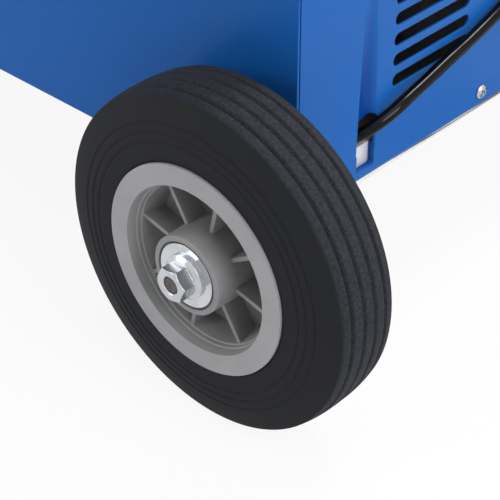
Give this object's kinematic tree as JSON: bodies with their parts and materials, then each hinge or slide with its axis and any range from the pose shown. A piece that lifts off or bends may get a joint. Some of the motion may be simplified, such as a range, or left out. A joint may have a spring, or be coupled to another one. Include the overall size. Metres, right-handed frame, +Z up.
{
  "type": "mig welder",
  "caption": "Wheeled wire-feed welding machine: blue sheet-steel case with a louvred rear panel, large ribbed rear wheels, front castors, side door and push handle.",
  "frame": {"origin": "centre of the machine's bounding box, mains cord left out, at floor level", "axes": "+Z up, front panel faces -Y, louvred rear panel faces +Y, pictured wheel on +X"},
  "size_m": [0.4934, 0.7373, 0.6167],
  "materials": {
    "blue_paint": "smooth gloss powder coat",
    "black_paint": "satin powder coat",
    "zinc": "bright zinc plate",
    "hub_plastic": "moulded grey plastic",
    "tyre_rubber": "moulded solid rubber",
    "castor_rubber": "matt",
    "fascia_plastic": "fine grain",
    "knob_plastic": "semi-gloss",
    "lamp_lens": "clear tinted",
    "brass": "turned",
    "galvanised": "galvanised sheet",
    "motor_paint": "satin",
    "roll_steel": "ground",
    "arm_plastic": "moulded",
    "red_plastic": "moulded",
    "core_iron": "varnished laminations",
    "winding_tape": "varnished tape",
    "cooler_aluminium": "plain plate",
    "board_green": "lacquered board",
    "grip_rubber": "ribbed",
    "cord_sheath": "glossy sheath",
    "tie_strap": "woven strap"
  },
  "bodies": {
    "chassis": {"base_tray": "galvanised", "frame_posts": "zinc", "rear_panel": "blue_paint", "right_side_panel": "blue_paint", "left_side_panel": "blue_paint", "door_hinge_frames": "zinc", "top_cover": "blue_paint", "front_panel": "blue_paint", "control_fascia": "fascia_plastic", "indicator_lamps": "lamp_lens", "torch_socket": "brass", "earth_socket": "knob_plastic", "earth_contact": "brass", "centre_bulkhead": "galvanised", "feed_motor": "motor_paint", "feed_plate": "fascia_plastic", "wire_guides": "brass", "spool_spindle": "roll_steel", "transformer_core": "core_iron", "transformer_coil": "winding_tape", "fan_bracket": "galvanised", "choke": "core_iron", "rectifier": "cooler_aluminium", "control_board": "board_green", "gas_valve": "brass", "handle_tube": "black_paint", "handle_grip": "grip_rubber", "castor_plates": "zinc", "axle": "zinc", "axle_brackets": "black_paint", "axle_spacers": "zinc", "axle_washers": "zinc", "axle_nuts": "zinc", "panel_screws": "zinc", "cable_hook": "black_paint", "cord_gland": "cord_sheath", "power_cord": "cord_sheath", "power_cord_coil": "cord_sheath", "coil_tie": "tie_strap", "power_plug": "cord_sheath"},
    "right_wheel": {"hub_right": "hub_plastic", "tyre_right": "tyre_rubber"},
    "left_wheel": {"hub_left": "hub_plastic", "tyre_left": "tyre_rubber"},
    "right_fork": {"castor_fork_right": "zinc"},
    "left_fork": {"castor_fork_left": "zinc"},
    "right_castor": {"castor_wheel_right": "castor_rubber"},
    "left_castor": {"castor_wheel_left": "castor_rubber"},
    "door": {"side_door": "blue_paint", "door_hinge_leaves": "zinc"},
    "latch": {"door_latch": "knob_plastic"},
    "spool": {"spool_hub": "knob_plastic"},
    "drive": {"drive_roll": "roll_steel"},
    "arm": {"pressure_arm": "arm_plastic"},
    "idle": {"pressure_roll": "roll_steel"},
    "tension": {"tension_knob": "red_plastic"},
    "rocker": {"power_rocker": "knob_plastic"},
    "voltage": {"voltage_knob": "knob_plastic"},
    "speed": {"wire_speed_knob": "knob_plastic"},
    "fan": {"fan_rotor": "knob_plastic"}
  },
  "joints": [
    {"name": "right_wheel_spin", "type": "hinge", "parent": "chassis", "child": "right_wheel", "pos_m": [0.205, 0.24, 0.1], "axis": [1, 0, 0], "continuous": true},
    {"name": "left_wheel_spin", "type": "hinge", "parent": "chassis", "child": "left_wheel", "pos_m": [-0.205, 0.24, 0.1], "axis": [1, 0, 0], "continuous": true},
    {"name": "right_castor_swivel", "type": "hinge", "parent": "chassis", "child": "right_fork", "pos_m": [0.105, -0.2305, 0.11], "axis": [0, 0, 1], "continuous": true},
    {"name": "left_castor_swivel", "type": "hinge", "parent": "chassis", "child": "left_fork", "pos_m": [-0.105, -0.2305, 0.11], "axis": [0, 0, 1], "continuous": true},
    {"name": "right_castor_roll", "type": "hinge", "parent": "right_fork", "child": "right_castor", "pos_m": [0.105, -0.2005, 0.05], "axis": [1, 0, 0], "continuous": true},
    {"name": "left_castor_roll", "type": "hinge", "parent": "left_fork", "child": "left_castor", "pos_m": [-0.105, -0.2005, 0.05], "axis": [1, 0, 0], "continuous": true},
    {"name": "door_hinge", "type": "hinge", "parent": "chassis", "child": "door", "pos_m": [-0.1705, -0.2845, 0.35735], "axis": [0, 0, 1], "range_deg": [0, 110]},
    {"name": "door_latch_turn", "type": "hinge", "parent": "door", "child": "latch", "pos_m": [-0.166, 0.13, 0.35735], "axis": [-1, 0, 0], "range_deg": [0, 90]},
    {"name": "spool_hub_spin", "type": "hinge", "parent": "chassis", "child": "spool", "pos_m": [-0.05, 0.04, 0.3547], "axis": [1, 0, 0], "continuous": true},
    {"name": "drive_roll_spin", "type": "hinge", "parent": "chassis", "child": "drive", "pos_m": [-0.04, -0.1905, 0.2342], "axis": [1, 0, 0], "continuous": true},
    {"name": "pressure_arm_lift", "type": "hinge", "parent": "chassis", "child": "arm", "pos_m": [-0.03, -0.2285, 0.2832], "axis": [1, 0, 0], "range_deg": [0, 45]},
    {"name": "pressure_roll_spin", "type": "hinge", "parent": "arm", "child": "idle", "pos_m": [-0.04, -0.1905, 0.2652], "axis": [1, 0, 0], "continuous": true},
    {"name": "tension_knob_turn", "type": "hinge", "parent": "arm", "child": "tension", "pos_m": [-0.03, -0.1545, 0.31], "axis": [0, 0, 1], "continuous": true},
    {"name": "power_rocker_tilt", "type": "hinge", "parent": "chassis", "child": "rocker", "pos_m": [-0.11, -0.301, 0.4297], "axis": [1, 0, 0], "range_deg": [-24, 0]},
    {"name": "voltage_knob_turn", "type": "hinge", "parent": "chassis", "child": "voltage", "pos_m": [-0.02, -0.31, 0.4297], "axis": [0, 1, 0], "range_deg": [-135, 135]},
    {"name": "wire_speed_knob_turn", "type": "hinge", "parent": "chassis", "child": "speed", "pos_m": [0.085, -0.31, 0.4297], "axis": [0, 1, 0], "range_deg": [-135, 135]},
    {"name": "fan_spin", "type": "hinge", "parent": "chassis", "child": "fan", "pos_m": [0.08, 0.05, 0.21], "axis": [0, 1, 0], "continuous": true}
  ],
  "couplings": [
    {"joint": "pressure_roll_spin", "follows": "drive_roll_spin", "ratio": -1}
  ]
}
